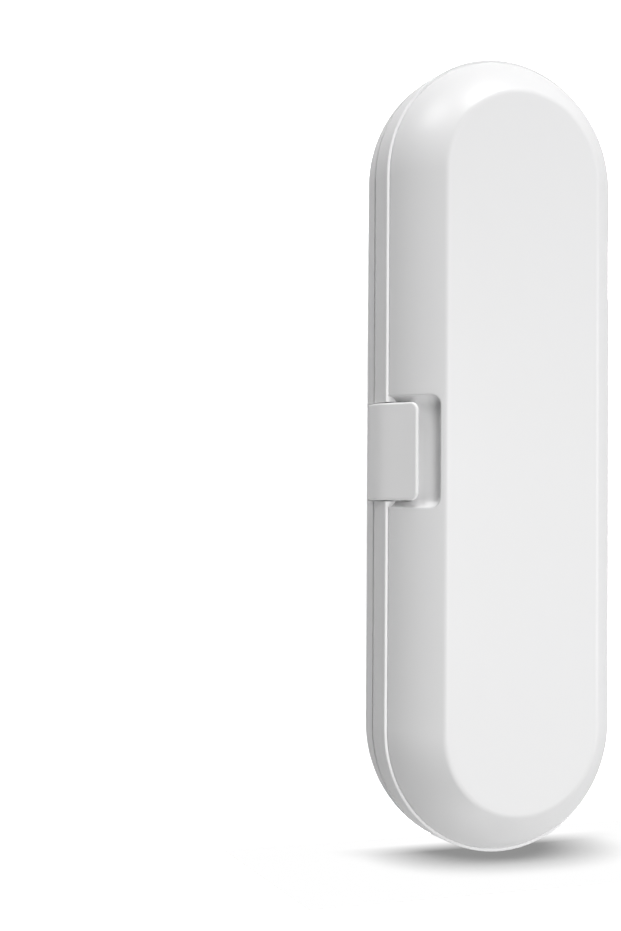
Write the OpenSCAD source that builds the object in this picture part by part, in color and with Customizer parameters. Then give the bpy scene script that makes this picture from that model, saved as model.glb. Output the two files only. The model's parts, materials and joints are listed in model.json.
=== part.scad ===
// Travel case for an electric toothbrush: a capsule-shaped hinged case with a snap latch on one
// long side and a moulded tray inside. It lies on its flat back: X runs along the case, Y across
// it with the latch at -Y and the hinge at +Y, and Z up through the lid. Sizes are in millimetres.

/* [Shell] */
// Overall length at the rim
case_l = 216; // [206:1:236]
// Overall width at the rim
case_w = 68; // [68:1:74]
// Height of the upright band under the parting line
band_h = 8.5; // [7:0.5:10]
// Radius of the long curve from the band round to the flat back
back_r = 21; // [20:0.5:23]
// Height of the lid above the parting line
lid_h = 13.5; // [13:0.5:16]
// Lean of the lid's side wall from upright at its foot, in degrees
lid_lean = 21; // [18:1:24]
// Radius of the lid's side wall, seen in section
lid_side_r = 28.5; // [26:0.5:31]
// Radius that softens the crease between the side wall and the flat face
crease_r = 2.5; // [2.2:0.1:6]
// General wall thickness
wall = 1.8; // [1.5:0.1:2]
// Width of the rim's ledge that shows outside the lid
ledge = 0.8; // [0.6:0.1:1]
// Depth of the fine groove under the band
groove_d = 0.5; // [0.3:0.1:0.7]
// Height of the fine groove under the band
groove_h = 0.7; // [0.5:0.1:1]
// Radius that softens the rim's and the groove's outer edges
edge_r = 0.3; // [0.2:0.05:0.4]

/* [Rim lip] */
// Thickness of the lid's rebated foot
foot_wall = 1.1; // [1:0.1:1.3]
// Thickness of the base's lip at its root
lip_wall = 1; // [0.9:0.1:1.2]
// Height of the base's lip
lip_h = 1.2; // [0.9:0.1:1.4]
// Gap between the lip and the lid
lip_gap = 0.3; // [0.25:0.05:0.4]

/* [Hinge] */
// Distance of each hinge station from the case's middle
hinge_x = 52; // [44:1:56]
// Height of the hinge axis under the parting line
hinge_drop = 5.5; // [5:0.25:6]
// Distance of the hinge axis outside the rim's side
hinge_out = 0.2; // [0.1:0.1:0.5]
// Radius of the knuckles
knuckle_r = 2.2; // [2:0.1:2.3]
// Length of the lid's knuckle
knuckle_l = 16; // [12:1:20]
// Length of each of the base's ears
ear_l = 6; // [5:0.5:8]
// Radius of the hinge pin
pin_r = 1; // [0.8:0.1:1.2]
// Gap all round the moving knuckle
hinge_gap = 0.25; // [0.2:0.05:0.3]

/* [Latch] */
// Length of the latch tab along the case
tab_l = 25.8; // [20:0.2:30]
// Thickness of the latch tab
tab_t = 1.8; // [1.6:0.1:2]
// Height of the tab's free edge above the parting line
tab_reach = 8.8; // [8:0.1:9.6]
// Lean of the tab's face from upright, in degrees
tab_lean = 30; // [28:1:32]
// Height of the tab's face over the lid's wall, measured level at the free edge
tab_lift = 1.2; // [1:0.1:1.5]
// Distance that the tab's bend stands out from the band
tab_proud = 1.6; // [1.4:0.1:1.8]
// Outer radius of the tab's bend
bend_r = 12; // [11:0.5:13]
// Radius of the tab's barrel
barrel_r = 2.4; // [2.2:0.1:2.5]
// Radius of the tab's moulded trunnions
trunnion_r = 1.2; // [1:0.1:1.3]
// Length of each trunnion
trunnion_l = 1.6; // [1.2:0.1:2]
// Corner radius of the tab's free edge
tab_corner_r = 2.2; // [1.5:0.1:3]
// Length of the recess in the lid
recess_l = 29.6; // [29:0.2:36]
// Depth of the recess below the lid's wall
recess_d = 2.3; // [2:0.1:2.5]
// Distance from the recess's upper edge up to the lid's flat face
recess_rest = 1; // [0.7:0.1:1.6]
// Corner radius of the recess
recess_corner_r = 2.6; // [2:0.1:3.5]
// Gap between the tab and what it lies against
tab_gap = 0.3; // [0.25:0.05:0.4]

/* [Tray] */
// Distance of the tray's deck below the parting line
deck_drop = 2.1; // [2:0.1:2.6]
// Thickness of the tray
tray_wall = 1.4; // [1.2:0.1:1.6]
// Height of the tray's outer skirt
skirt_h = 4; // [3:0.5:6]
// Gap between the handle bay's wall and the rim's inside, which leaves the bay its width
bay_side_gap = 3.9; // [3:0.1:5]
// Radius of the bay for the drive shaft's end
neck_bay_r = 8.5; // [7.5:0.25:9]
// Place of the round end of the handle's bay, from the case's middle
handle_x1 = 46; // [36:1:50]
// Distance of the bays' ends from the shell's inside
bay_end_gap = 9; // [8:0.5:12]
// Wall between the handle's bay and the brush heads' channel
bay_wall = 2.2; // [1.8:0.1:2.4]
// Radius of the channel for the brush heads
head_bay_r = 7.7; // [7:0.1:7.7]
// Half length of the channel for the brush heads
head_bay_x = 84; // [80:1:86]

/* [Cradles and pads] */
// Length of each rubber saddle under the handle
cradle_l = 14; // [10:1:20]
// Thickness of each rubber saddle
cradle_t = 1.3; // [1:0.1:1.6]
// Place of the saddle under the handle's butt
cradle_low_x = -62; // [-70:1:-50]
// Place of the saddle under the handle's upper end
cradle_high_x = 22; // [10:1:26]
// Gap between a rubber piece and the tray
cradle_gap = 0.3; // [0.2:0.05:0.4]
// Radius of the slot for the drive shaft
shaft_slot_r = 3; // [2.5:0.1:4]
// Thickness of the shaft's clip
neck_cradle_t = 6; // [4:0.5:8]
// Length of the block between the brush heads
dock_l = 10; // [8:1:14]
// Radius of the pegs for the brush heads
peg_r = 2.6; // [2:0.1:3]
// Length of each peg
peg_l = 14; // [10:1:18]
// Thickness of the foam pads in the lid
pad_t = 3.6; // [2.5:0.1:4]
// Width of the foam pads
pad_w = 16; // [12:1:18]
// Distance of the foam pads from the start of the crease
pad_edge_gap = 3.3; // [2:0.1:4]
// Length of the pad over the handle
handle_pad_l = 56; // [40:1:60]
// Length of the pad over the handle's upper end
neck_pad_l = 34; // [24:1:38]

/* [Screws] */
// Radius of the screws' shanks
screw_r = 1.2; // [1:0.1:1.3]
// Radius of the screws' heads
screw_head_r = 2.6; // [2.3:0.1:2.8]
// Height of the screws' heads
screw_head_h = 1.5; // [1.2:0.1:1.7]
// Length of the screws' shanks
screw_l = 8; // [6:0.5:9]
// Radius of the bosses that carry the tray
boss_r = 3; // [2.6:0.1:3.2]

/* [Hidden] */
$fn = 96;

white_plastic = [0.93, 0.93, 0.93];
tray_plastic = [0.84, 0.85, 0.86];
soft_rubber = [0.62, 0.64, 0.66];
foam_grey = [0.72, 0.73, 0.74];
steel = [0.75, 0.76, 0.78];

// Outline of the case: two half rounds at +mid_x and -mid_x, joined by straight sides
rim_y = case_w / 2;
mid_x = case_l / 2 - rim_y;
seam_z = band_h + back_r;
total_h = seam_z + lid_h;
foot_y = rim_y - ledge;
over = 1; // how far a cutting shape runs past the face that it cuts
lap = 0.1; // how far joined shapes run into each other
past = 60; // larger than any half section of the case

// Section of the lid's side wall: an arc about side_c, softened into the flat face about crease_c
side_c = [foot_y - lid_side_r * cos(lid_lean), -lid_side_r * sin(lid_lean)];
function wall_y(h, inset) = side_c.x + sqrt(pow(lid_side_r - inset, 2) - pow(h - side_c.y, 2));
crease_z = lid_h - crease_r;
crease_c = [side_c.x + sqrt(pow(lid_side_r - crease_r, 2) - pow(crease_z - side_c.y, 2)), crease_z];
crease_a = atan2(crease_c.y - side_c.y, crease_c.x - side_c.x);

// Rim, lip and inner width of the base
lip_out = foot_wall + lip_gap;
rim_in = wall_y(0, lip_out + lip_wall);
rebate_h = lip_h + lip_gap;
back_flat = rim_y - back_r;
floor_z = wall;

// Hinge
hinge_y = rim_y + hinge_out;
hinge_z = seam_z - hinge_drop;
pin_fit = 0.05; // running fit of the knuckle on the pin, on the radius
ear_fit = 0.02; // fit of the ears on the pin and of the bosses on the screws, on the radius
station_l = knuckle_l + 2 * (hinge_gap + ear_l);
arm_lean = 31; // the hinge arm's outer face leans in by this angle
arm_top = 4; // the hinge arm runs up the lid's wall to this height

// Latch tab, as (y, z) points with y counted towards the latch side
tip = [wall_y(tab_reach, 0) + tab_lift, seam_z + tab_reach];
bend_y = rim_y + tab_proud - bend_r;
face_end_y = bend_y + bend_r * cos(tab_lean);
face_end_z = tip.y - (face_end_y - tip.x) / tan(tab_lean);
bend_c = [bend_y, face_end_z - bend_r * sin(tab_lean)];
tuck_a = 29; // the tab dives into the base at this angle under level
pivot = bend_c + (bend_r - barrel_r) * [cos(tuck_a), -sin(tuck_a)];
tip_t = 1.2; // thickness of the tab at its free edge
face_n = [cos(tab_lean), sin(tab_lean)]; // outward direction of the tab's face
face_d = [-sin(tab_lean), cos(tab_lean)]; // direction up the tab's face
pocket_l = tab_l + 2 * tab_gap;
mouth_l = 4; // length of the sloped lower lip of the latch's pocket
mouth_fall = 2.08; // fall of the lower lip over that length
bend_gap = 0.4; // gap between the tab's bend and the base behind it
latch_wall = 1.7; // wall left behind the barrel
latch_in = pivot.x - barrel_r - tab_gap - latch_wall;
socket_wall = 3; // length of the latch's block past each trunnion
latch_boss_l = pocket_l + 2 * (trunnion_l + socket_wall);
latch_boss_h = 7; // height of the latch's block under the pivot
trunnion_fit = 0.05; // running fit of the trunnions, on the radius

// Recess in the lid, and the deeper strip that the closed tab hangs in
strike_clear = 0.5; // the strip's floor stays this far outside the tab's inner face, level with its edge
strike_y = tip.x - tip_t / cos(tab_lean) - tab_gap + strike_clear;
strike_lean = 9; // the strip's floor leans in by this angle, which lets the lid lift past the tab
rib_l = 15; // length of the snap rib
rib_h = 1.2; // height of the snap rib's blunt edge
rib_root_h = 3.6; // height of the snap rib where it leaves the tab
rib_z = 2; // height of the snap rib above the parting line
recess_end_z = lid_h - recess_rest;
recess_end_a = asin((recess_end_z - side_c.y) / lid_side_r);
recess_foot_a = asin((-2 * over - side_c.y) / lid_side_r);
recess_wall = 1.5; // thickness left behind the recess
recess_fillet = 2.6; // radius along the recess's floor, more than its depth, so the edge stays crisp
recess_span = 20; // radial length of the recess's cut, which ends outside the lid
corner_depth = 16; // length of the prisms that round the recess's and the tab's corners

// Tray
deck_z = seam_z - deck_drop;
deck_under = deck_z - tray_wall;
tray_gap = 0.3; // gap between the tray and the base
tray_y = rim_in - tray_gap;
channel_gap = 0.9; // gap between the channel's wall and the latch's block
head_y = latch_in - channel_gap - tray_wall - head_bay_r;
handle_low_y = head_bay_r + bay_wall - head_y; // sides of the handle's bay
handle_high_y = rim_in - bay_side_gap - tray_wall;
handle_bay_r = (handle_high_y - handle_low_y) / 2;
handle_y = (handle_high_y + handle_low_y) / 2;
floor_gap = 2.3; // gap between the handle's bay and the base's floor
bay_z = floor_z + floor_gap + tray_wall + handle_bay_r; // height of the handle's and the heads' axes
bay_end_x = mid_x + rim_in - bay_end_gap;
handle_x0 = handle_bay_r - bay_end_x;
screw_in = 7.8; // distance of the end screws from the rim's inside
screw_a = 38; // direction of the end screws from the round ends' centres
screw_end_x = mid_x + (rim_in - screw_in) * cos(screw_a);
screw_end_y = (rim_in - screw_in) * sin(screw_a);
screw_side_x = mid_x - 5; // place of the screw beside the neck's bay
screw_side_y = tray_y - 5.3;
screw_places = [[-screw_end_x, -screw_end_y], [screw_end_x, -screw_end_y], [screw_side_x, screw_side_y]];
slot_h = 0.6; // width of the cross in the screws' heads
slot_d = 0.7; // depth of the cross in the screws' heads
slot_l = 3.4; // length of each of the cross's slots
drain_l = 14; // length of the drain slots under the handle
drain_w = 3; // width of the drain slots
drain_corner_r = 1.4;
drain_places = [-62, -34, -6];

// Cradles and pads
cradle_r = handle_bay_r - cradle_gap;
cradle_top = bay_z - 3; // the saddles end this high
saddle_groove = 0.5; // depth of the grooves inside a saddle
neck_x = bay_end_x - neck_bay_r - neck_cradle_t / 2;
neck_top = bay_z + 3; // the shaft's clip ends this high
dock_top = deck_z - 1; // the block between the brush heads ends this high
slot_open = 1.7; // width of the shaft slot's mouth, as a share of its radius
pad_corner_r = 4;
pad_y = crease_c.x - pad_edge_gap - pad_w / 2;
pad_top = total_h - wall;
handle_pad_x = -42;
neck_pad_x = 18;

// Solid with the case's outline, from a half section drawn as (distance from the middle, height)
module capsule() {
  for (s = [-1, 1])
    translate([s * mid_x, 0, 0]) rotate([0, 0, -90 * s]) rotate_extrude(angle = 180) children();
  rotate([90, 0, 90]) linear_extrude(2 * mid_x, center = true) {
    children();
    mirror([1, 0]) children();
  }
}

// Bar along X with the given section, drawn as (towards the latch, height)
module latch_bar(length) {
  rotate([90, 0, -90]) linear_extrude(length, center = true) children();
}

// Bar along X with the given section, drawn as (towards the hinge, height)
module hinge_bar(length) {
  rotate([90, 0, 90]) linear_extrude(length, center = true) children();
}

// Rod along X, centred on x, with its axis at (y, z)
module rod(x, y, z, length, r) {
  translate([x, y, z]) rotate([0, 90, 0]) cylinder(r = r, h = length, center = true);
}

// Flat rectangle with round corners, centred
module round_rect(w, h, r) {
  square([w - 2 * r, h], center = true);
  square([w, h - 2 * r], center = true);
  for (sx = [-1, 1], sy = [-1, 1])
    translate([sx * (w / 2 - r), sy * (h / 2 - r)]) circle(r, $fn = 48);
}

// What a rounding of radius r takes off a convex square corner that points to +x and +y
module corner_cut(r) {
  difference() {
    translate([-r, -r]) square(r + lap);
    translate([-r, -r]) circle(r, $fn = 48);
  }
}

// Half section of the lid's outer form, moved inwards by inset
module lid_half(inset) {
  r = crease_r - inset;
  difference() {
    intersection() {
      translate(side_c) circle(lid_side_r - inset, $fn = 180);
      square([past, lid_h - inset]);
    }
    difference() {
      polygon([crease_c, crease_c + (r + over) * [cos(crease_a), sin(crease_a)],
               crease_c + [0, r] + over * [1, 2], crease_c + [0, r + over]]);
      translate(crease_c) circle(r);
    }
  }
}

// The lid's outer form as a solid that stands on the parting plane
module lid_form(inset) {
  translate([0, 0, seam_z]) capsule() lid_half(inset);
}

// Half section of the base's outside
module base_half() {
  difference() {
    union() {
      square([back_flat, seam_z]);
      intersection() {
        translate([back_flat, back_r]) circle(back_r, $fn = 180);
        square([past, back_r]);
      }
      translate([0, back_r - lap]) square([rim_y, band_h + lap]);
    }
    translate([rim_y - groove_d, back_r]) square([groove_d + over, groove_h]);
    translate([rim_y, seam_z]) corner_cut(edge_r);
    translate([rim_y, back_r + groove_h]) mirror([0, 1]) corner_cut(edge_r);
  }
}

// Half section of the hollow in the base
module base_hollow_half() {
  intersection() {
    union() {
      translate([0, floor_z]) square([back_flat, seam_z]);
      translate([back_flat, back_r]) circle(back_r - wall, $fn = 180);
      translate([back_flat, back_r]) square([past, past]);
      translate([0, back_r]) square([past, past]);
    }
    square([rim_in, past]);
  }
}

// The lip that stands on the rim inside the lid's foot, open behind the recess
module rim_lip() {
  difference() {
    translate([0, 0, seam_z]) capsule() difference() {
      intersection() {
        lid_half(lip_out);
        square([past, lip_h]);
      }
      square([rim_in, past]);
    }
    latch_side_box(recess_l + 2 * (recess_wall + lip_gap), seam_z, lip_h);
  }
}

// Box on the latch side of the case, of the given length, from height z upwards
module latch_side_box(length, z, height) {
  translate([-length / 2, -past, z]) cube([length, past - rim_in / 2, height + over]);
}

// Sectioned outline of the latch tab
module tab_section() {
  inner_tip = tip - tip_t * face_n;
  face_end = bend_c + bend_r * face_n;
  inner_end = bend_c + (bend_r - tab_t) * face_n;
  low = [cos(tuck_a), -sin(tuck_a)];
  polygon([face_end, tip - tip_t / 2 * face_d, inner_tip - tip_t / 2 * face_d, inner_end]);
  translate(tip - tip_t / 2 * (face_n + face_d)) circle(tip_t / 2, $fn = 48);
  intersection() {
    difference() {
      translate(bend_c) circle(bend_r);
      translate(bend_c) circle(bend_r - tab_t);
    }
    polygon([bend_c, bend_c + 2 * bend_r * face_n, bend_c + 2 * bend_r * [1, 0],
             bend_c + 2 * bend_r * low]);
  }
}

// Space in the base that the tab and its barrel lie and turn in
module pocket_section() {
  lip = [pivot.x, pivot.y - barrel_r - tab_gap];
  difference() {
    polygon([lip, lip + [mouth_l, -mouth_fall], [past, lip.y - mouth_fall], [past, seam_z + over],
             [bend_c.x, seam_z + over], [bend_c.x, bend_c.y]]);
    translate(bend_c) circle(bend_r - tab_t - bend_gap);
  }
  translate(pivot) circle(barrel_r + tab_gap, $fn = 48);
}

// Block inside the base that backs the latch pocket and carries the trunnions' sockets
module latch_boss() {
  intersection() {
    latch_bar(latch_boss_l) {
      polygon([[latch_in, seam_z], [rim_in + over, seam_z], [rim_in + over, pivot.y - latch_boss_h],
               [latch_in, pivot.y - latch_boss_h + rim_in - latch_in]]);
    }
    capsule() base_half();
  }
}

// Boss in the base that the tray stands on, with a pilot hole for its screw
module tray_boss(place) {
  intersection() {
    translate([place.x, place.y, 0]) cylinder(r = boss_r, h = deck_under, $fn = 48);
    capsule() base_half();
  }
}

module base_shell() color(white_plastic) {
  difference() {
    union() {
      difference() {
        capsule() base_half();
        capsule() base_hollow_half();
      }
      latch_boss();
      for (p = screw_places) tray_boss(p);
      for (s = [-1, 1], e = [-1, 1])
        rod(s * hinge_x + e * (station_l - ear_l) / 2, hinge_y, hinge_z, ear_l, knuckle_r);
    }
    latch_bar(pocket_l) pocket_section();
    rod(0, -pivot.x, pivot.y, tab_l + 2 * (trunnion_l + tab_gap), trunnion_r + trunnion_fit);
    for (s = [-1, 1]) {
      translate([s * hinge_x, 0, 0]) hinge_bar(knuckle_l + 2 * hinge_gap) hinge_notch();
      rod(s * hinge_x, hinge_y, hinge_z, station_l + 2 * over, pin_r + ear_fit);
    }
    for (p = screw_places)
      translate([p.x, p.y, deck_under - screw_l])
        cylinder(r = screw_r + ear_fit, h = screw_l + over, $fn = 48);
  }
  rim_lip();
}

// Space in the rim that the lid's knuckle turns in
module hinge_notch() {
  reach = knuckle_r + hinge_gap;
  translate([hinge_y - reach, hinge_z - reach]) square([past, hinge_drop + reach + over]);
}

// Sectioned outline of the lid's hinge arm, drawn as (towards the hinge, height)
module arm_section() {
  out = [cos(arm_lean), sin(arm_lean)];
  up = [-sin(arm_lean), cos(arm_lean)];
  c = [hinge_y, hinge_z];
  run = (seam_z + arm_top - hinge_z) / cos(arm_lean);
  translate(c) circle(knuckle_r, $fn = 48);
  polygon([c, c + knuckle_r * out, c + knuckle_r * out + run * up,
           [wall_y(arm_top, foot_wall), seam_z + arm_top],
           [wall_y(0, foot_wall), seam_z], [hinge_y - knuckle_r, seam_z - over],
           [hinge_y - knuckle_r, hinge_z]]);
}

// What the recess takes out of the lid's side wall, grown by g
module recess_form(g) {
  r_floor = lid_side_r - recess_d - g;
  top_a = recess_end_a + g * 180 / (PI * r_floor);
  translate([0, -side_c.x, seam_z + side_c.y]) rotate([180 - top_a, 0, 0]) rotate([0, 90, 0])
    rotate([0, 0, 90]) rotate_extrude(angle = top_a - recess_foot_a, $fn = 180)
      translate([r_floor + recess_span / 2, 0]) round_rect(recess_span, recess_l + 2 * g, recess_fillet);
}

// The recess with its two upper corners rounded
module recess_cut() {
  end = side_c + lid_side_r * [cos(recess_end_a), sin(recess_end_a)];
  difference() {
    recess_form(0);
    for (s = [-1, 1])
      face_corner([s * recess_l / 2, -end.x, seam_z + end.y], recess_end_a, s) facet_cut(recess_corner_r);
  }
}

// Prism that cuts one upper corner of a face on the latch side, which leans in by the given angle
module face_corner(at, lean, side) {
  translate(at) rotate([90 - lean, 0, 0]) mirror([side < 0 ? 1 : 0, 0])
    linear_extrude(corner_depth, center = true) children();
}

// What a corner broken in three flats of an arc of radius r takes off
module facet_cut(r) {
  polygon(concat([for (a = [0:30:90]) r * [cos(a) - 1, sin(a) - 1]], [[-r, over], [over, over], [over, -r]]));
}

module lid_shell() color(white_plastic) {
  difference() {
    union() {
      difference() {
        lid_form(0);
        lid_hollow();
      }
      for (s = [-1, 1])
        translate([s * hinge_x, 0, 0]) hinge_bar(knuckle_l) arm_section();
    }
    recess_cut();
    strike_form(0);
    for (s = [-1, 1])
      rod(s * hinge_x, hinge_y, hinge_z, knuckle_l + 2 * over, pin_r + pin_fit);
  }
}

// Deeper strip of the recess behind the tab, grown by g
module strike_form(g) {
  latch_bar(pocket_l + 2 * g) {
    low = strike_y + tab_reach * tan(strike_lean) - g;
    polygon([[low, seam_z - over], [past, seam_z - over], [past, seam_z + tab_reach],
             [strike_y - g, seam_z + tab_reach + g]]);
  }
}

// The hollow in the lid, left solid behind the recess
module lid_hollow() {
  difference() {
    union() {
      difference() {
        lid_form(wall);
        recess_form(recess_wall);
      }
      intersection() {
        lid_form(foot_wall);
        translate([-3 * past, -past, 0]) cube([6 * past, 2 * past, seam_z + rebate_h]);
      }
    }
    recess_form(recess_wall);
    strike_form(recess_wall);
  }
}

module latch_flap() color(white_plastic) {
  difference() {
    union() {
      latch_bar(tab_l) {
        tab_section();
        translate(pivot) circle(barrel_r, $fn = 48);
      }
      latch_bar(rib_l) snap_rib();
      rod(0, -pivot.x, pivot.y, tab_l + 2 * trunnion_l, trunnion_r);
    }
    for (s = [-1, 1])
      face_corner([s * tab_l / 2, -tip.x, tip.y], tab_lean, s) corner_cut(tab_corner_r);
  }
}

// Rib inside the tab that snaps over the lid's foot
module snap_rib() {
  root = bend_c + (bend_r - tab_t / 2) * face_n;
  edge_y = strike_y + tab_reach * tan(strike_lean) + tab_gap / 2;
  polygon([root + rib_z * face_d, root + (rib_z + rib_root_h) * face_d, [edge_y, seam_z + rib_z + rib_h],
           [edge_y, seam_z + rib_z]]);
}

module hinge_pin(side) {
  rod(side * hinge_x, hinge_y, hinge_z, station_l, pin_r);
}

module hinge_pin_left() color(steel) hinge_pin(-1);

module hinge_pin_right() color(steel) hinge_pin(1);

// Length to the nearest 0.02 mm, so that pieces joined end to end meet without a crack
function even(x) = round(50 * x) / 50;

// Trough with round ends that is open upwards, from x0 to x1 between its ends' centres
module trough(x0, x1, y, r) {
  a = even(x0);
  b = even(x1);
  for (end = [[a, 90], [b, -90]])
    translate([end[0], y, bay_z]) rotate([0, 0, end[1]]) rotate_extrude(angle = 180) trough_half(r);
  translate([(a + b) / 2, y, bay_z]) hinge_bar(b - a) {
    trough_half(r);
    mirror([1, 0]) trough_half(r);
  }
}

// Half section of a trough, with its round floor under the origin
module trough_half(r) {
  intersection() {
    circle(r);
    translate([0, -r]) square([r, r]);
  }
  square([r, past / 2]);
}

// Bay for the handle and its neck, grown by g
module handle_bay(g) {
  trough(handle_x0, handle_x1, handle_y, handle_bay_r + g);
  trough(handle_x1, bay_end_x - neck_bay_r, handle_y, neck_bay_r + g);
}

// Channel for the two brush heads, grown by g
module head_bay(g) {
  x = head_bay_x - head_bay_r;
  trough(-x, x, -head_y, head_bay_r + g);
}

module inner_tray() color(tray_plastic) {
  difference() {
    intersection() {
      union() {
        translate([0, 0, deck_under]) capsule() square([tray_y, tray_wall]);
        translate([0, 0, deck_z - skirt_h]) capsule() translate([tray_y - tray_wall, 0])
          square([tray_wall, skirt_h]);
        handle_bay(tray_wall);
        head_bay(tray_wall);
      }
      translate([-3 * past, -past, 0]) cube([6 * past, 2 * past, deck_z]);
    }
    handle_bay(0);
    head_bay(0);
    translate([-latch_boss_l / 2 - tray_gap, -past, 0])
      cube([latch_boss_l + 2 * tray_gap, past - latch_in + tray_gap, past]);
    for (p = screw_places)
      translate([p.x, p.y, 0]) cylinder(r = screw_r + tray_gap, h = past, $fn = 48);
    for (x = drain_places)
      translate([x, handle_y, 0]) linear_extrude(bay_z) round_rect(drain_l, drain_w, drain_corner_r);
  }
}

module tray_screws() color(steel) {
  for (p = screw_places) translate([p.x, p.y, 0]) {
    translate([0, 0, deck_under - screw_l])
      cylinder(r = screw_r, h = screw_l + tray_wall + slot_h, $fn = 48);
    difference() {
      translate([0, 0, deck_z]) cylinder(r = screw_head_r, h = screw_head_h, $fn = 48);
      for (a = [0, 90]) translate([0, 0, deck_z + screw_head_h]) rotate([0, 0, a])
        cube([slot_l, slot_h, 2 * slot_d], center = true);
    }
  }
}

// Rubber saddle in the handle's bay, centred on x
module saddle(x) {
  intersection() {
    difference() {
      rod(x, handle_y, bay_z, cradle_l, cradle_r);
      rod(x, handle_y, bay_z, cradle_l + over, cradle_r - cradle_t);
      for (s = [-1, 1])
        rod(x + s * cradle_l / 4, handle_y, bay_z, cradle_l / 4, cradle_r - cradle_t + saddle_groove);
    }
    translate([x - past / 2, -past, 0]) cube([past, 2 * past, cradle_top]);
  }
}

module handle_cradle_lower() color(soft_rubber) saddle(cradle_low_x);

module handle_cradle_upper() color(soft_rubber) saddle(cradle_high_x);

module neck_cradle() color(soft_rubber) {
  r = neck_bay_r - cradle_gap;
  difference() {
    intersection() {
      rod(neck_x, handle_y, bay_z, neck_cradle_t, r);
      translate([neck_x - past / 2, -past, 0]) cube([past, 2 * past, neck_top]);
    }
    rod(neck_x, handle_y, bay_z, neck_cradle_t + over, shaft_slot_r);
    translate([neck_x, handle_y, bay_z + past / 2])
      cube([neck_cradle_t + over, slot_open * shaft_slot_r, past], center = true);
  }
}

module head_dock() color(soft_rubber) {
  r = head_bay_r - cradle_gap;
  intersection() {
    rod(0, -head_y, bay_z, dock_l, r);
    translate([-past / 2, -past, 0]) cube([past, 2 * past, dock_top]);
  }
  rod(0, -head_y, bay_z, dock_l + 2 * peg_l, peg_r);
}

// Foam pad on the lid's inner face, centred on x over the handle
module lid_pad(x, length) {
  translate([x, pad_y, pad_top - pad_t]) linear_extrude(pad_t) round_rect(length, pad_w, pad_corner_r);
}

module lid_handle_pad() color(foam_grey) lid_pad(handle_pad_x, handle_pad_l);

module lid_neck_pad() color(foam_grey) lid_pad(neck_pad_x, neck_pad_l);

base_shell();
lid_shell();
latch_flap();
hinge_pin_left();
hinge_pin_right();
inner_tray();
tray_screws();
handle_cradle_lower();
handle_cradle_upper();
neck_cradle();
head_dock();
lid_handle_pad();
lid_neck_pad();
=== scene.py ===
import json
import math

import bmesh
import bpy
from mathutils import Matrix, Vector


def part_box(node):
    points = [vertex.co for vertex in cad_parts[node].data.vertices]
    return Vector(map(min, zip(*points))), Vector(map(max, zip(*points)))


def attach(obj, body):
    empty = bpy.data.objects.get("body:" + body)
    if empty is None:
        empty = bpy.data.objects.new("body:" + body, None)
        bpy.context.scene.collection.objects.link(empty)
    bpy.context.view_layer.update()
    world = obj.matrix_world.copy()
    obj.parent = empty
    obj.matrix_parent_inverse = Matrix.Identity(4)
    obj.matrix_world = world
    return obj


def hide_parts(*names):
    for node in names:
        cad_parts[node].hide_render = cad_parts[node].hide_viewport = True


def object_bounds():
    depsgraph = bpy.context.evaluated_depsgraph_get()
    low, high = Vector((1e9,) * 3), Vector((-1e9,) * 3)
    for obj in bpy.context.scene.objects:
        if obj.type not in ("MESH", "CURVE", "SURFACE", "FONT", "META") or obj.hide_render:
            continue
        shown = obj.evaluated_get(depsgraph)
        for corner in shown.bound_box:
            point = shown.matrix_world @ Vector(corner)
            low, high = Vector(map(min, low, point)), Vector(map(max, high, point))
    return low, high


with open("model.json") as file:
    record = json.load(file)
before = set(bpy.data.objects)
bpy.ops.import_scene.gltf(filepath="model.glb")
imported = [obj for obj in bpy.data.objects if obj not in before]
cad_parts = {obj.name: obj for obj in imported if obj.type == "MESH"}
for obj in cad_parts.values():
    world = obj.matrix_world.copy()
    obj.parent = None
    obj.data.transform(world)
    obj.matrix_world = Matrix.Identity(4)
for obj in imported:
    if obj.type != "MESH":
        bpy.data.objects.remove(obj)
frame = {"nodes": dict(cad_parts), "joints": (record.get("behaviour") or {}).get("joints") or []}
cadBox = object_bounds()
nodes = frame["nodes"]
mm = 0.001

# The view, fitted to the photographed outline. Places are in millimetres in the frame of the case.
view = {
    "place": (13.6, -198.5, 416.5),
    "forward": (-0.02326, 0.34715, -0.93752),
    "up": (-0.99971, -0.01378, 0.0197),
    "focalPixels": 1583.0,
    "framePixels": (621, 931),
    "sensorWidth": 36.0,
}


def addCamera():
    data = bpy.data.cameras.new("camera")
    data.sensor_width = view["sensorWidth"]
    data.lens = view["sensorWidth"] * view["focalPixels"] / max(view["framePixels"])
    data.clip_start, data.clip_end = 0.01, 20
    camera = bpy.data.objects.new("camera", data)
    bpy.context.scene.collection.objects.link(camera)
    back = -Vector(view["forward"]).normalized()
    right = Vector(view["up"]).cross(back).normalized()
    up = back.cross(right)
    camera.matrix_world = Matrix((right, up, back)).transposed().to_4x4()
    camera.location = Vector(view["place"]) * mm
    bpy.context.scene.camera = camera


addCamera()
print("stage: camera")


# Helpers for meshes. Points and sizes are in millimetres up to makeMesh, and metres in the mesh itself.

# Faces of a closed tube through rows of points, each row a closed loop of the same size. Its ends are one
# face each, or strips across a loop whose second half mirrors the first.
def tubeFaces(rows, strips=False):
    count = len(rows[0])
    last = (len(rows) - 1) * count
    if strips:
        faces = [(start + i, start + i + 1, start + count - i - 2, start + count - i - 1)
                 for start in (0, last) for i in range(count // 2 - 1)]
    else:
        faces = [tuple(range(count)), tuple(range(last + count - 1, last - 1, -1))]
    for a in range(0, last, count):
        b = a + count
        for i in range(count):
            j = (i + 1) % count
            faces.append((a + j, a + i, b + i, b + j))
    return faces


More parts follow.
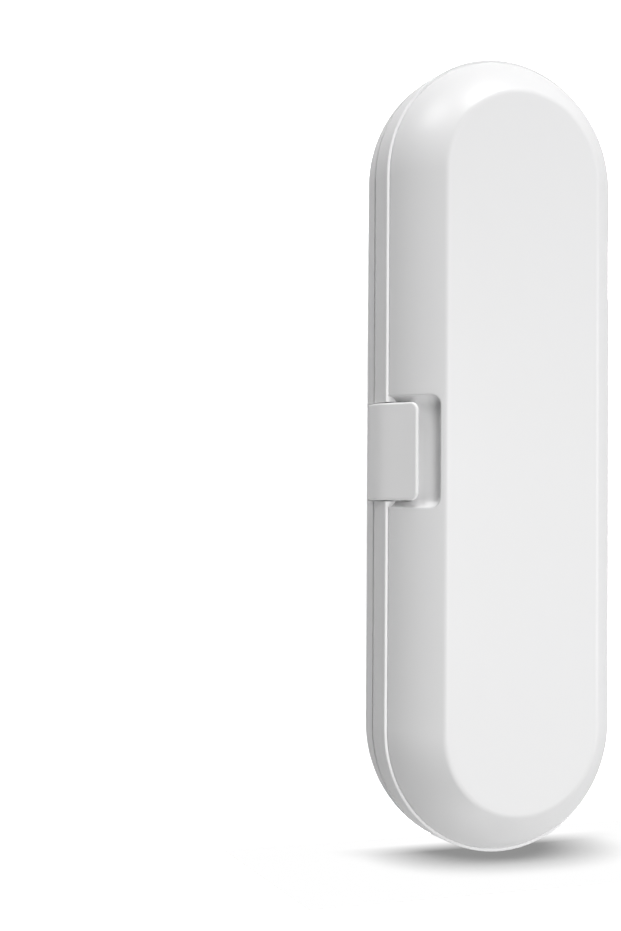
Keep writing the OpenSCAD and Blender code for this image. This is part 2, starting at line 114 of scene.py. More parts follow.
# One mesh from several tubes, each given as its rows of points
def makeMesh(name, tubes, strips=False):
    bm = bmesh.new()
    for rows in tubes:
        corners = [bm.verts.new(Vector(p) * mm) for row in rows for p in row]
        for face in tubeFaces(rows, strips):
            bm.faces.new([corners[i] for i in face])
    bmesh.ops.recalc_face_normals(bm, faces=bm.faces)
    mesh = bpy.data.meshes.new(name)
    bm.to_mesh(mesh)
    bm.free()
    return mesh


# Smooth shading with sharp edges only where the surface turns by more than the limit
def shadeByAngle(mesh, limit=30):
    bm = bmesh.new()
    bm.from_mesh(mesh)
    for face in bm.faces:
        face.smooth = True
    for edge in bm.edges:
        edge.smooth = len(edge.link_faces) != 2 or edge.calc_face_angle(0) < math.radians(limit)
    bm.to_mesh(mesh)
    bm.free()


# Puts the result of the piece's modifiers in its mesh
def freezeModifiers(piece):
    bpy.context.view_layer.update()
    graph = bpy.context.evaluated_depsgraph_get()
    mesh = bpy.data.meshes.new_from_object(
        piece.evaluated_get(graph), preserve_all_data_layers=True, depsgraph=graph)
    piece.modifiers.clear()
    piece.data = mesh


# Rounds the edges where the surface turns by more than the limit
def softenEdges(piece, radius, segments=3, limit=35):
    shadeByAngle(piece.data, limit)
    bevel = piece.modifiers.new("softEdges", "BEVEL")
    bevel.width = radius * mm
    bevel.segments = segments
    bevel.limit_method = "ANGLE"
    bevel.angle_limit = math.radians(limit)
    bevel.harden_normals = True
    freezeModifiers(piece)


def makePiece(name, tubes, radius=0, segments=3):
    piece = bpy.data.objects.new(name, makeMesh(name, tubes))
    bpy.context.scene.collection.objects.link(piece)
    if radius:
        softenEdges(piece, radius, segments)
    return piece


# Adds the other pieces' meshes to the first one
def joinPieces(target, others):
    bm = bmesh.new()
    for piece in [target] + others:
        bm.from_mesh(piece.data)
    bm.to_mesh(target.data)
    bm.free()
    for piece in others:
        bpy.data.objects.remove(piece)


# Gives the piece its finish and its place in the case
def dress(piece, material, body, node):
    piece.data.materials.clear()
    piece.data.materials.append(material)
    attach(piece, body)
    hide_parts(node)


# Points of an arc in a plane, from one angle to another in degrees
def arc(centre, radius, start, end, steps):
    turns = [math.radians(start + (end - start) * i / steps) for i in range(steps + 1)]
    return [(centre[0] + radius * math.cos(a), centre[1] + radius * math.sin(a)) for a in turns]


# Loop of a rectangle with round corners, centred on the origin
def roundLoop(width, height, radius, steps=6):
    loop = []
    for quarter, (sx, sy) in enumerate([(1, 1), (-1, 1), (-1, -1), (1, -1)]):
        centre = (sx * (width / 2 - radius), sy * (height / 2 - radius))
        loop += arc(centre, radius, 90 * quarter, 90 * quarter + 90, steps)
    return loop


# Two rows for a bar along X with a section given as (y, z)
def bar(section, x0, x1):
    return [[(x, y, z) for y, z in section] for x in (x0, x1)]


# Rows of a turned piece about an axis along X, from a profile of (x, radius)
def turned(profile, y, z, steps=32):
    ring = [2 * math.pi * i / steps for i in range(steps)]
    return [[(x, y + r * math.cos(a), z + r * math.sin(a)) for a in ring] for x, r in profile]


# Node groups that several finishes share

# A group whose inputs are numbers or colours, each with its first value
def newGroup(name, inputs, outputs):
    group = bpy.data.node_groups.new(name, "ShaderNodeTree")
    for label, value in inputs.items():
        kind = "NodeSocketColor" if isinstance(value, tuple) else "NodeSocketFloat"
        socket = group.interface.new_socket(label, in_out="INPUT", socket_type=kind)
        socket.default_value = (*value, 1) if isinstance(value, tuple) else value
    for label, kind in outputs.items():
        group.interface.new_socket(label, in_out="OUTPUT", socket_type=kind)
    return group, group.nodes.new("NodeGroupInput"), group.nodes.new("NodeGroupOutput")


def noise(tree, vector, scale, detail=2.0, roughness=0.5):
    texture = tree.nodes.new("ShaderNodeTexNoise")
    texture.inputs["Detail"].default_value = detail
    texture.inputs["Roughness"].default_value = roughness
    tree.links.new(vector, texture.inputs["Vector"])
    if isinstance(scale, (int, float)):
        texture.inputs["Scale"].default_value = scale
    else:
        tree.links.new(scale, texture.inputs["Scale"])
    return texture.outputs["Fac"]


# Brings a value to the range from low to high. Most of a noise lies between 0.3 and 0.7.
def mapRange(tree, value, low, high, fromLow=0.3, fromHigh=0.7):
    node = tree.nodes.new("ShaderNodeMapRange")
    tree.links.new(value, node.inputs["Value"])
    for label, amount in zip(("From Min", "From Max", "To Min", "To Max"), (fromLow, fromHigh, low, high)):
        if isinstance(amount, (int, float)):
            node.inputs[label].default_value = amount
        else:
            tree.links.new(amount, node.inputs[label])
    return node.outputs["Result"]


def mixColours(tree, factor, first, second):
    node = tree.nodes.new("ShaderNodeMix")
    node.data_type = "RGBA"
    tree.links.new(factor, node.inputs["Factor"])
    for socket, colour in ((node.inputs[6], first), (node.inputs[7], second)):  # its colour inputs A and B
        if isinstance(colour, tuple):
            socket.default_value = (*colour, 1)
        else:
            tree.links.new(colour, socket)
    return node.outputs[2]


# Fine skin of a moulded surface: grain height and a roughness that drifts from place to place
def makeMouldedSkin():
    group, given, result = newGroup(
        "mouldedSkin",
        {"Grain Scale": 2500.0, "Drift Scale": 30.0, "Roughness Low": 0.3, "Roughness High": 0.36},
        {"Height": "NodeSocketFloat", "Roughness": "NodeSocketFloat"})
    place = group.nodes.new("ShaderNodeTexCoord").outputs["Object"]
    grain = noise(group, place, given.outputs["Grain Scale"], detail=3)
    drift = noise(group, place, given.outputs["Drift Scale"], detail=4)
    group.links.new(grain, result.inputs["Height"])
    rough = mapRange(group, drift, given.outputs["Roughness Low"], given.outputs["Roughness High"])
    group.links.new(rough, result.inputs["Roughness"])
    return group


# Slight clouding of a colour, as pigment in a moulded part
def makePigment():
    group, given, result = newGroup(
        "pigment",
        {"Colour": (0.8, 0.8, 0.8), "Other Colour": (0.78, 0.78, 0.78), "Cloud Scale": 18.0},
        {"Color": "NodeSocketColor"})
    place = group.nodes.new("ShaderNodeTexCoord").outputs["Object"]
    cloud = noise(group, place, given.outputs["Cloud Scale"], detail=5, roughness=0.6)
    mask = mapRange(group, cloud, 0.0, 1.0)
    colour = mixColours(group, mask, given.outputs["Colour"], given.outputs["Other Colour"])
    group.links.new(colour, result.inputs["Color"])
    return group


mouldedSkin = makeMouldedSkin()
pigment = makePigment()


def placeGroup(material, group, values):
    node = material.node_tree.nodes.new("ShaderNodeGroup")
    node.node_tree = group
    for label, value in values.items():
        node.inputs[label].default_value = (*value, 1) if isinstance(value, tuple) else value
    return node


def newMaterial(name, roughness=0.5, metallic=0.0, ior=1.5):
    material = bpy.data.materials.new(name)
    material.use_nodes = True
    shader = material.node_tree.nodes["Principled BSDF"]
    shader.inputs["Roughness"].default_value = roughness
    shader.inputs["Metallic"].default_value = metallic
    shader.inputs["IOR"].default_value = ior
    return material, shader


# Bump from a height, over edges that the Bevel node rounds off
def addSurface(material, shader, height, depth, rounding):
    tree = material.node_tree
    bump = tree.nodes.new("ShaderNodeBump")
    bump.inputs["Distance"].default_value = depth * mm
    tree.links.new(height, bump.inputs["Height"])
    if rounding:
        bevel = tree.nodes.new("ShaderNodeBevel")
        bevel.samples = 6
        bevel.inputs["Radius"].default_value = rounding * mm
        tree.links.new(bevel.outputs["Normal"], bump.inputs["Normal"])
    tree.links.new(bump.outputs["Normal"], shader.inputs["Normal"])


def mouldedMaterial(name, look):
    material, shader = newMaterial(name, ior=look["ior"])
    tree = material.node_tree
    skin = placeGroup(material, mouldedSkin, {
        "Grain Scale": look["grainScale"], "Drift Scale": look["driftScale"],
        "Roughness Low": look["roughness"][0], "Roughness High": look["roughness"][1]})
    colour = placeGroup(material, pigment, {
        "Colour": look["colour"], "Other Colour": look["otherColour"], "Cloud Scale": look["cloudScale"]})
    tree.links.new(colour.outputs["Color"], shader.inputs["Base Color"])
    tree.links.new(skin.outputs["Roughness"], shader.inputs["Roughness"])
    addSurface(material, shader, skin.outputs["Height"], look["grainDepth"], look["rounding"])
    return material


# Satin white of the shells. The lid's edges look softer. The latch, whose mesh has its own round
# edges, gets a brighter copy of the same white: painted light for the brighter shading of its face.
caseLook = {
    "colour": (0.87, 0.87, 0.875), "otherColour": (0.86, 0.86, 0.86), "cloudScale": 12.0,
    "roughness": (0.34, 0.4), "grainScale": 2200.0, "driftScale": 25.0, "grainDepth": 0.004,
    "ior": 1.49, "rounding": 0.25,
}
lidLook = {**caseLook, "rounding": 0.7}
# The latch's lighter white is painted light, standing in for the light its face catches.
latchLitLook = {**caseLook, "colour": (0.97, 0.97, 0.973), "otherColour": (0.96, 0.96, 0.96), "rounding": 0}
# Spark-eroded matt surface of the tray
trayLook = {
    "colour": (0.6, 0.61, 0.62), "otherColour": (0.57, 0.58, 0.59), "cloudScale": 15.0,
    "roughness": (0.55, 0.7), "grainScale": 1500.0, "driftScale": 40.0, "grainDepth": 0.05,
    "ior": 1.49, "rounding": 0.25,
}
# Soft matt rubber of the saddles, clip and dock
rubberLook = {
    "colour": (0.2, 0.215, 0.23), "otherColour": (0.175, 0.185, 0.2), "cloudScale": 90.0,
    "roughness": (0.7, 0.85), "grainScale": 1800.0, "driftScale": 60.0, "grainDepth": 0.03,
    "ior": 1.52, "rounding": 0,
}
# Closed-cell foam of the pads
foamLook = {
    "colour": (0.34, 0.345, 0.355), "wallColour": (0.44, 0.445, 0.455), "cellScale": 1700.0,
    "wallReach": (0.02, 0.22), "cloudScale": 250.0, "cloudRange": (0.85, 1.15), "cellDepth": 0.12,
    "roughness": 0.9, "ior": 1.4,
}
# Drawn steel of the pins and screws
steelLook = {
    "colour": (0.62, 0.62, 0.63), "streakColour": (0.5, 0.5, 0.51), "roughness": (0.25, 0.42),
    "streakScale": 4000.0, "stretch": 0.04, "streakDepth": 0.01, "rounding": 0.12,
}


# Small pits between paler walls
def makeFoam(look):
    material, shader = newMaterial("padFoam", roughness=look["roughness"], ior=look["ior"])
    tree = material.node_tree
    place = tree.nodes.new("ShaderNodeTexCoord").outputs["Object"]
    cells = tree.nodes.new("ShaderNodeTexVoronoi")
    cells.feature = "DISTANCE_TO_EDGE"
    cells.inputs["Scale"].default_value = look["cellScale"]
    tree.links.new(place, cells.inputs["Vector"])
    wall = mapRange(tree, cells.outputs["Distance"], 1.0, 0.0, *look["wallReach"])
    cloud = noise(tree, place, look["cloudScale"], detail=4)
    soft = mapRange(tree, cloud, *look["cloudRange"])
    mask = tree.nodes.new("ShaderNodeMath")
    mask.operation = "MULTIPLY"
    mask.use_clamp = True
    tree.links.new(wall, mask.inputs[0])
    tree.links.new(soft, mask.inputs[1])
    colour = mixColours(tree, mask.outputs[0], look["colour"], look["wallColour"])
    tree.links.new(colour, shader.inputs["Base Color"])
    addSurface(material, shader, mask.outputs[0], look["cellDepth"], 0)
    return material


# Fine streaks along X
def makeSteel(look):
    material, shader = newMaterial("pinSteel", metallic=1.0)
    tree = material.node_tree
    stretch = tree.nodes.new("ShaderNodeMapping")
    stretch.inputs["Scale"].default_value = (look["stretch"], 1, 1)
    tree.links.new(tree.nodes.new("ShaderNodeTexCoord").outputs["Object"], stretch.inputs["Vector"])
    streak = noise(tree, stretch.outputs["Vector"], look["streakScale"], detail=3)
    mask = mapRange(tree, streak, 0.0, 1.0)
    colour = mixColours(tree, mask, look["colour"], look["streakColour"])
    tree.links.new(colour, shader.inputs["Base Color"])
    tree.links.new(mapRange(tree, streak, *look["roughness"]), shader.inputs["Roughness"])
    addSurface(material, shader, streak, look["streakDepth"], look["rounding"])
    return material


casePlastic = mouldedMaterial("casePlastic", caseLook)
lidPlastic = mouldedMaterial("lidPlastic", lidLook)
latchLitPlastic = mouldedMaterial("latchLitPlastic", latchLitLook)
trayPlastic = mouldedMaterial("trayPlastic", trayLook)
cradleRubber = mouldedMaterial("cradleRubber", rubberLook)
padFoam = makeFoam(foamLook)
pinSteel = makeSteel(steelLook)
print("stage: finishes")

# CAD nodes whose shape stays, with their new finishes
keptFinishes = {
    "base_shell": casePlastic, "lid_shell": lidPlastic, "inner_tray": trayPlastic,
    "hinge_pin_left": pinSteel, "hinge_pin_right": pinSteel,
}
for name, material in keptFinishes.items():
    nodes[name].data.materials.clear()
    nodes[name].data.materials.append(material)

# The latch, drawn in its section as (distance towards the latch side, height). Its bend faces tuck degrees
# below level at the barrel and faceLean degrees above it where the straight face starts.
latch = {
    "length": 25.8, "thick": 1.8, "tipThick": 1.2, "bendRadius": 12.0, "faceLean": 30.0, "tuck": 29.0,
    "faceLength": 10.1, "cornerRadius": 2.2, "edgeRadius": 0.55, "edgeMargin": 0.1,
    "sideSteps": 24, "cornerSteps": 10, "edgeSteps": 4,
    "barrelRadius": 2.4, "barrelChamfer": 0.3,
    "trunnionRadius": 1.2, "trunnionLength": 1.6, "trunnionChamfer": 0.2,
    "ribLength": 15.0, "ribHeights": (2.0, 5.6), "ribSink": 0.9, "ribEdge": (2.0, 3.2), "ribEdgeY": 29.4,
    "softEdge": 0.12,
}
lipHeight = 1.2  # how far the rim's lip stands over the parting line
pivot = [joint for joint in frame["joints"] if joint["name"] == "latch_pivot"][0]["pos_m"]
pivotY, pivotZ = pivot[1] / mm, pivot[2] / mm
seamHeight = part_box("base_shell")[1].z / mm - lipHeight


# A point of the latch's section as a point of the case
def onLatchSide(x, point):
    return (x, -point[0], point[1])


# The latch's outer line: the length of its bend, and a function that gives the point, the outward
# direction and the thickness at a distance along it
def latchLine():
    low, lean = math.radians(-latch["tuck"]), math.radians(latch["faceLean"])
    radius, face = latch["bendRadius"], latch["faceLength"]
    rise = radius - latch["barrelRadius"]
    bend = (-pivotY - rise * math.cos(low), pivotZ - rise * math.sin(low))
    bendLength = radius * (lean - low)

    def at(distance):
        turn = min(low + distance / radius, lean)
        past = max(distance - bendLength, 0)
        out = (math.cos(turn), math.sin(turn))
        point = (bend[0] + radius * out[0] - past * out[1], bend[1] + radius * out[1] + past * out[0])
        return point, out, latch["thick"] + (latch["tipThick"] - latch["thick"]) * past / face

    return bendLength, at


# Loops round the flap from its outer face to its inner one, drawn in at both for the round edge
def latchRows():
    half, corner, edge = latch["length"] / 2, latch["cornerRadius"], latch["edgeRadius"]
    bendLength, at = latchLine()
    length = bendLength + latch["faceLength"]
    steps = latch["sideSteps"]
    turns = [math.radians(90 * i / latch["edgeSteps"]) for i in range(latch["edgeSteps"] + 1)]
    outer = [(edge + latch["edgeMargin"], 0)]
    outer += [(edge * (1 - math.sin(a)), edge * (1 - math.cos(a))) for a in turns]
    levels = [(inset, depth, 0) for inset, depth in outer]
    levels += [(inset, -depth, 1) for inset, depth in reversed(outer)]
    rows = []
    for inset, depth, share in levels:
        side = [(half - inset, inset + (length - corner - inset) * i / steps) for i in range(steps)]
        side += arc((half - corner, length - corner), corner - inset, 0, 90, latch["cornerSteps"])
        row = []
        for x, distance in side + [(-x, distance) for x, distance in reversed(side)]:
            point, out, thick = at(distance)
            deep = depth + share * thick
            row.append(onLatchSide(x, (point[0] - deep * out[0], point[1] - deep * out[1])))
        rows.append(row)
    return rows


# Barrel with a trunnion at each end, about the pivot
def latchAxle():
    half = latch["length"] / 2
    end = half + latch["trunnionLength"]
    pin, pinCut = latch["trunnionRadius"], latch["trunnionChamfer"]
    barrel, barrelCut = latch["barrelRadius"], latch["barrelChamfer"]
    right = [(half - barrelCut, barrel), (half, barrel - barrelCut), (half, pin), (end - pinCut, pin),
             (end, pin - pinCut)]
    left = [(-x, radius) for x, radius in reversed(right)]
    return turned(left + right, pivotY, pivotZ)


# Snap rib inside the flap's flat face, from its root in the wall to its edge under the lid's foot
def latchRib():
    bendLength, at = latchLine()
    start, out = at(bendLength)[:2]
    sink = latch["ribSink"]
    low, high = [(start[0] - sink * out[0] - h * out[1], start[1] - sink * out[1] + h * out[0])
                 for h in latch["ribHeights"]]
    edgeLow, edgeHigh = [(latch["ribEdgeY"], seamHeight + h) for h in latch["ribEdge"]]
    half = latch["ribLength"] / 2
    return [[onLatchSide(x, point) for point in (low, high, edgeHigh, edgeLow)] for x in (-half, half)]


def makeLatch():
    flap = bpy.data.objects.new("latchFlap", makeMesh("latchFlap", [latchRows()], strips=True))
    bpy.context.scene.collection.objects.link(flap)
    shadeByAngle(flap.data, limit=50)
    axlePiece = makePiece("latchAxle", [latchAxle(), latchRib()], latch["softEdge"], segments=2)
    joinPieces(flap, [axlePiece])
    dress(flap, latchLitPlastic, "latch", "latch_flap")


makeLatch()
print("stage: latch")

# Foam pads in the lid: glued flat on top, and crowned towards the handle down to a narrow flat strip
pad = {
    "cornerRadius": 4.0, "cornerShare": 0.8, "leastCorner": 0.3, "edgeRadius": 0.9, "edgeSteps": 5,
    "crown": 0.7, "crownSteps": 7, "crownFlat": 0.6, "glueGap": 0.02, "topChamfer": (0.12, 0.15),
}


def makePad(node):
    low, high = (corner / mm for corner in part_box(node))
    width, depth = high.x - low.x, high.y - low.y
    middle = ((low.x + high.x) / 2, (low.y + high.y) / 2)
    top = high.z - pad["glueGap"]
    edge, crown = pad["edgeRadius"], pad["crown"]
    chamferIn, chamferDown = pad["topChamfer"]
    levels = [(chamferIn, top), (0.0, top - chamferDown), (0.0, low.z + crown + edge)]
    for i in range(1, pad["edgeSteps"] + 1):
        turn = math.radians(90 * i / pad["edgeSteps"])
        levels.append((edge * (1 - math.cos(turn)), low.z + crown + edge * (1 - math.sin(turn))))
    reach = depth / 2 - edge - pad["crownFlat"]
    for i in range(1, pad["crownSteps"] + 1):
        share = i / pad["crownSteps"]
        levels.append((edge + reach * share, low.z + crown * (1 - share) ** 2))
    rows = []
    for inset, height in levels:
        corner = max(pad["cornerRadius"] - inset * pad["cornerShare"], pad["leastCorner"])
        loop = roundLoop(width - 2 * inset, depth - 2 * inset, corner)
        rows.append([(middle[0] + x, middle[1] + y, height) for x, y in loop])
    piece = makePiece(node + "_foam", [rows])
    shadeByAngle(piece.data, limit=50)
    dress(piece, padFoam, "lid", node)


for node in ("lid_handle_pad", "lid_neck_pad"):
    makePad(node)
print("stage: pads")

# Rubber saddles: a wall with two grooves, bent round the handle's axis, which is topDrop above their top
saddle = {
    "thick": 1.3, "grooveDepth": 0.5, "grooveShares": (0.25, 0.75), "edgeRadius": 0.22, "steps": 44,
    "topDrop": 3.0,
}


def makeSaddle(node):
    low, high = (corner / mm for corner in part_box(node))
    half = (high.x - low.x) / 2
    x, y = (low.x + high.x) / 2, (low.y + high.y) / 2
    drop = saddle["topDrop"]
    axis = high.z + drop
    outer = axis - low.z
    inner = outer - saddle["thick"]
    groove = inner + saddle["grooveDepth"]
    near, far = (share * half for share in saddle["grooveShares"])
    right = [(half, outer), (half, inner), (far, inner), (far, groove), (near, groove), (near, inner)]
    left = [(-along, radius) for along, radius in reversed(right)]
    section = right + left
    rows = []
    for i in range(saddle["steps"] + 1):
        row = []
        for along, radius in section:
            start = math.asin(drop / radius)
            turn = math.pi + start + (math.pi - 2 * start) * i / saddle["steps"]
            row.append((x + along, y + radius * math.cos(turn), axis + radius * math.sin(turn)))
        rows.append(row)
    piece = makePiece(node + "_rubber", [rows], saddle["edgeRadius"], segments=2)
    dress(piece, cradleRubber, "base", node)


for node in ("handle_cradle_lower", "handle_cradle_upper"):
    makeSaddle(node)

# Clip for the drive shaft: a round block with a slot that opens upwards, topRise above the shaft's axis
clip = {
    "slotRadius": 3.0, "mouthHalf": 2.55, "topRise": 3.0, "edgeRadius": 0.45, "outerSteps": 40,
    "slotSteps": 24,
}


def makeClip():
    low, high = (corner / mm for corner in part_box("neck_cradle"))
    y = (low.y + high.y) / 2
    z = high.z - clip["topRise"]
    outer = z - low.z
    outerEnd = math.degrees(math.asin(clip["topRise"] / outer))
    slotEnd = math.degrees(math.acos(clip["mouthHalf"] / clip["slotRadius"]))
    section = arc((y, z), outer, 180 - outerEnd, 360 + outerEnd, clip["outerSteps"])
    section.append((y + clip["mouthHalf"], high.z))
    section += arc((y, z), clip["slotRadius"], slotEnd, -180 - slotEnd, clip["slotSteps"])
    section.append((y - clip["mouthHalf"], high.z))
    piece = makePiece("shaftClip", [bar(section, low.x, high.x)], clip["edgeRadius"])
    dress(piece, cradleRubber, "base", "neck_cradle")


makeClip()

# Dock between the brush heads: a block in the channel with a peg on each side. The ring and the round tip
# of a peg are points given as (distance from its end, depth under its surface).
dock = {
    "blockHalf": 5.0, "edgeRadius": 0.5, "steps": 40, "pegRadius": 2.6, "pegSink": 0.3,
    "pegRing": ((7.0, 0.0), (6.7, 0.3), (6.0, 0.3), (5.7, 0.0)),
    "pegTip": ((1.6, 0.0), (0.8, 0.25), (0.25, 0.9), (0.0, 1.7)),
}


def makeDock():
    low, high = (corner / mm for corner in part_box("head_dock"))
    y = (low.y + high.y) / 2
    outer = (high.y - low.y) / 2
    z = low.z + outer
    top = math.degrees(math.asin((high.z - z) / outer))
    half = dock["blockHalf"]
    block = bar(arc((y, z), outer, 180 - top, 360 + top, dock["steps"]), -half, half)
    profile = [(half - dock["pegSink"], dock["pegRadius"])]
    profile += [(high.x - back, dock["pegRadius"] - deep) for back, deep in dock["pegRing"] + dock["pegTip"]]
    pegs = [turned([(side * x, radius) for x, radius in profile], y, z) for side in (-1, 1)]
    blockPiece = makePiece("headDock", [block], dock["edgeRadius"])
    pegPiece = makePiece("dockPegs", pegs)
    shadeByAngle(pegPiece.data, limit=60)
    joinPieces(blockPiece, [pegPiece])
    dress(blockPiece, cradleRubber, "base", "head_dock")


makeDock()
print("stage: cradles")

# Pan-head screws that hold the tray, set on their three places by Geometry Nodes. The head's round edge
# is points given as (height, distance in from its radius), with its top at height 0.
screw = {
    "headRadius": 2.6, "headHeight": 1.5, "headEdge": ((-0.8, 0.0), (-0.45, 0.25), (-0.15, 0.8), (0.0, 1.6)),
    "shankRadius": 1.2, "shankTip": 0.4, "shankTipInset": 0.2, "steps": 40,
    "crossLength": 3.4, "crossWidth": 0.6, "crossDepth": 0.75, "cutterRise": 1.0, "turn": 1.4, "seed": 3,
}


# The top of each screw of the CAD node, one to each island of joined corners
def screwPlaces():
    node = nodes["tray_screws"]
    bm = bmesh.new()
    bm.from_mesh(node.data)
    bmesh.ops.remove_doubles(bm, verts=bm.verts, dist=1e-6)
    bm.verts.ensure_lookup_table()
    places, seen = [], set()
    for start in bm.verts:
        if start in seen:
            continue
        island, queue = [], [start]
        seen.add(start)
        while queue:
            corner = queue.pop()
            island.append(corner.co.copy())
            for edge in corner.link_edges:
                other = edge.other_vert(corner)
                if other not in seen:
                    seen.add(other)
                    queue.append(other)
        low = Vector([min(p[i] for p in island) for i in range(3)])
        high = Vector([max(p[i] for p in island) for i in range(3)])
        places.append(Vector(((low.x + high.x) / 2, (low.y + high.y) / 2, high.z)) / mm)
    bm.free()
    return places


def makeScrewPattern():
    low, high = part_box("tray_screws")
    length = (high.z - low.z) / mm
    head, under, shank = screw["headRadius"], -screw["headHeight"], screw["shankRadius"]
    profile = [(-length, shank - screw["shankTipInset"]), (-length + screw["shankTip"], shank),
               (under, shank), (under, head)]
    profile += [(height, head - inset) for height, inset in screw["headEdge"]]
    rows = [[(y, z, x) for x, y, z in row] for row in turned(profile, 0, 0, screw["steps"])]
    pattern = makePiece("screwPattern", [rows])
    along, across = screw["crossLength"] / 2, screw["crossWidth"] / 2
    slot = [(-along, -across), (along, -across), (along, across), (-along, across)]
    heights = (-screw["crossDepth"], screw["cutterRise"])
    for i, loop in enumerate((slot, [(-y, x) for x, y in slot])):
        cutter = makePiece("cross" + str(i), [[[(x, y, z) for x, y in loop] for z in heights]])
        cut = pattern.modifiers.new("cross", "BOOLEAN")
        cut.operation = "DIFFERENCE"
        cut.solver = "EXACT"
        cut.object = cutter
        freezeModifiers(pattern)
        bpy.data.objects.remove(cutter)
    shadeByAngle(pattern.data, limit=40)
    return pattern


# Tree that sets a pattern on every point of the piece, each turned by its own angle
def makeScrewTree():
    tree = bpy.data.node_groups.new("screwsOnPoints", "GeometryNodeTree")
    sockets = {}
    for label, kind in (("Geometry", "Geometry"), ("Pattern", "Object"), ("Scale", "Float"),
                        ("Turn", "Float"), ("Seed", "Int"), ("Material", "Material")):
        sockets[label] = tree.interface.new_socket(label, in_out="INPUT", socket_type="NodeSocket" + kind)
    tree.interface.new_socket("Geometry", in_out="OUTPUT", socket_type="NodeSocketGeometry")
    add = tree.nodes.new
    given, result = add("NodeGroupInput"), add("NodeGroupOutput")
    info, place = add("GeometryNodeObjectInfo"), add("GeometryNodeInstanceOnPoints")
    realize, spin = add("GeometryNodeRealizeInstances"), add("FunctionNodeRandomValue")
    turn, finish = add("ShaderNodeCombineXYZ"), add("GeometryNodeSetMaterial")
    spin.data_type = "FLOAT"
    link = tree.links.new
    link(given.outputs["Pattern"], info.inputs["Object"])
    link(given.outputs["Turn"], spin.inputs[3])  # the upper end of its range of numbers
    link(given.outputs["Seed"], spin.inputs["Seed"])
    link(spin.outputs[1], turn.inputs["Z"])  # its plain number
    link(given.outputs["Geometry"], place.inputs["Points"])
    link(info.outputs["Geometry"], place.inputs["Instance"])
    link(turn.outputs[0], place.inputs["Rotation"])
    link(given.outputs["Scale"], place.inputs["Scale"])
    link(place.outputs[0], realize.inputs[0])
    link(realize.outputs[0], finish.inputs["Geometry"])
    link(given.outputs["Material"], finish.inputs["Material"])
    link(finish.outputs[0], result.inputs[0])
    return tree, sockets


def makeScrews():
    pattern = makeScrewPattern()
    tree, sockets = makeScrewTree()
    mesh = bpy.data.meshes.new("trayScrews")
    mesh.from_pydata([p * mm for p in screwPlaces()], [], [])
    screws = bpy.data.objects.new("trayScrews", mesh)
    bpy.context.scene.collection.objects.link(screws)
    modifier = screws.modifiers.new("screws", "NODES")
    modifier.node_group = tree
    for label, value in (("Pattern", pattern), ("Scale", 1.0), ("Turn", screw["turn"]),
                         ("Seed", screw["seed"]), ("Material", pinSteel)):
        modifier[sockets[label].identifier] = value
    freezeModifiers(screws)
    bpy.data.objects.remove(pattern)
    dress(screws, pinSteel, "base", "tray_screws")


makeScrews()
print("stage: screws")

# Stage: a level floor under the case, and the floor that the case stands on in the photograph, square to X.
# The second one is small and is seen only from the front and only by the camera, so it lights and hides
# nothing. It glows, and a painted shadow dims its glow: its strength runs from shadowDark, where the case
# is nearest, to shadowClear, and up to plain white towards the level floor. Places and sizes of the floors
# and lamps are in metres.
stage = {
    "floorHalf": 1.5, "floorAlbedo": 0.8, "floorBoost": 4.8,
    "standGap": 0.0004, "standLow": 0.001, "standHalf": 0.07,
    "shadowReach": 0.023, "shadowLevel": 0.28, "shadowDark": 0.3, "shadowClear": 0.85,
    "fadeFrom": 0.012, "fadeTo": 0.022,
}
lamps = {
    "front": {"from": (0.0, 0.15, 1.0), "distance": 0.9, "size": 0.5, "watts": 2.9},
    "top": {"from": (-0.93, 0.0, 0.35), "distance": 2.0, "size": 0.78, "watts": 23.0},
    "topLeft": {"from": (-0.8, -0.5, 0.1), "distance": 2.0, "size": 0.6, "watts": 10.5},
    "lowFront": {"from": (0.6, 0.0, 0.8), "distance": 0.9, "size": 0.5, "watts": 2.2},
    "side": {"from": (0.0, 0.9, 0.45), "distance": 0.9, "size": 0.5, "watts": 1.9},
    "bounce": {"from": (0.95, -0.1, 0.3), "distance": 0.9, "size": 0.5, "watts": 0.75},
}


def makePlane(name, corners):
    mesh = bpy.data.meshes.new(name)
    mesh.from_pydata(corners, [], [(0, 1, 2, 3)])
    plane = bpy.data.objects.new(name, mesh)
    bpy.context.scene.collection.objects.link(plane)
    return plane


# White to the camera where the lamps reach and no shadow falls, and a plain pale surface otherwise
def makeFloorWhite():
    material = bpy.data.materials.new("floorWhite")
    material.use_nodes = True
    tree = material.node_tree
    tree.nodes.remove(tree.nodes["Principled BSDF"])
    path = tree.nodes.new("ShaderNodeLightPath")
    diffuse = tree.nodes.new("ShaderNodeBsdfDiffuse")
    white = tuple([stage["floorBoost"]] * 3)
    albedo = tuple([stage["floorAlbedo"]] * 3)
    tree.links.new(mixColours(tree, path.outputs["Is Camera Ray"], albedo, white), diffuse.inputs["Color"])
    tree.links.new(diffuse.outputs[0], tree.nodes["Material Output"].inputs["Surface"])
    return material
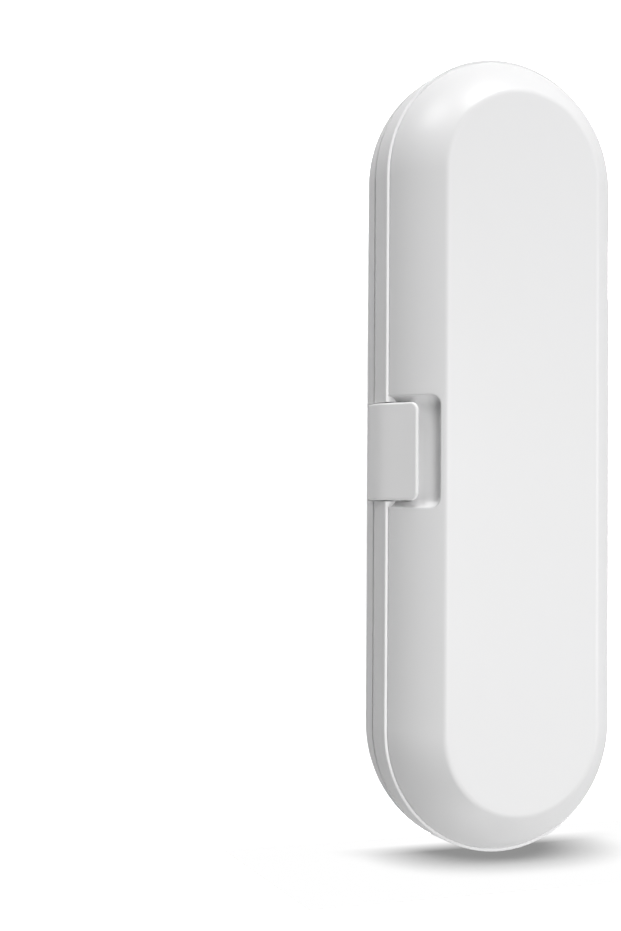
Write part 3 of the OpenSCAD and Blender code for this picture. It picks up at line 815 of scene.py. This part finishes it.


# A glow with a painted shadow where the case is near, seen by the camera alone and clear from behind
def makeStandWhite():
    material = bpy.data.materials.new("standPaintedShadow")
    material.use_nodes = True
    tree = material.node_tree
    tree.nodes.remove(tree.nodes["Principled BSDF"])
    # The painted shadow: ambient occlusion near the case dims the glow
    near = tree.nodes.new("ShaderNodeAmbientOcclusion")
    near.samples = 16
    near.inputs["Distance"].default_value = stage["shadowReach"]
    shade = mapRange(
        tree, near.outputs["AO"], stage["shadowLevel"], 1.0, stage["shadowDark"], stage["shadowClear"])
    place = tree.nodes.new("ShaderNodeSeparateXYZ")
    tree.links.new(tree.nodes.new("ShaderNodeTexCoord").outputs["Object"], place.inputs[0])
    above = mapRange(tree, place.outputs["Z"], 0.0, 1.0, stage["fadeFrom"], stage["fadeTo"])
    glow = tree.nodes.new("ShaderNodeEmission")
    tree.links.new(mapRange(tree, above, 1.0, shade, 0.0, 1.0), glow.inputs["Strength"])
    path = tree.nodes.new("ShaderNodeLightPath")
    seen = tree.nodes.new("ShaderNodeMath")
    seen.operation = "SUBTRACT"
    seen.use_clamp = True
    tree.links.new(path.outputs["Is Camera Ray"], seen.inputs[0])
    tree.links.new(tree.nodes.new("ShaderNodeNewGeometry").outputs["Backfacing"], seen.inputs[1])
    mix = tree.nodes.new("ShaderNodeMixShader")
    tree.links.new(seen.outputs[0], mix.inputs["Fac"])
    tree.links.new(tree.nodes.new("ShaderNodeBsdfTransparent").outputs[0], mix.inputs[1])
    tree.links.new(glow.outputs[0], mix.inputs[2])
    tree.links.new(mix.outputs[0], tree.nodes["Material Output"].inputs["Surface"])
    return material


def makeStage():
    half = stage["floorHalf"]
    floor = makePlane("floor", [(-half, -half, 0), (half, -half, 0), (half, half, 0), (-half, half, 0)])
    floor.data.materials.append(makeFloorWhite())
    x = cadBox[1].x + stage["standGap"]
    low, side = stage["standLow"], stage["standHalf"]
    stand = makePlane("standingFloor", [(x, -side, low), (x, -side, side), (x, side, side), (x, side, low)])
    stand.data.materials.append(makeStandWhite())


def addLamps():
    for name, lamp in lamps.items():
        data = bpy.data.lights.new(name, "AREA")
        data.shape = "DISK"
        data.size = lamp["size"]
        data.energy = lamp["watts"]
        light = bpy.data.objects.new(name, data)
        direction = Vector(lamp["from"]).normalized()
        light.location = direction * lamp["distance"]
        light.rotation_euler = direction.to_track_quat("Z", "Y").to_euler()
        bpy.context.scene.collection.objects.link(light)


# White where the camera or a reflection sees it, with no other light from it
def addWorld():
    world = bpy.data.worlds.new("world")
    world.use_nodes = True
    tree = world.node_tree
    background = tree.nodes["Background"]
    path = tree.nodes.new("ShaderNodeLightPath")
    seen = path.outputs["Is Camera Ray"]
    for label in ("Is Glossy Ray", "Is Transmission Ray"):
        either = tree.nodes.new("ShaderNodeMath")
        either.operation = "MAXIMUM"
        tree.links.new(seen, either.inputs[0])
        tree.links.new(path.outputs[label], either.inputs[1])
        seen = either.outputs[0]
    background.inputs["Color"].default_value = (1, 1, 1, 1)
    tree.links.new(seen, background.inputs["Strength"])
    bpy.context.scene.world = world


makeStage()
addLamps()
addWorld()
bpy.context.scene.view_settings.view_transform = "Standard"
print("stage: floor and light")
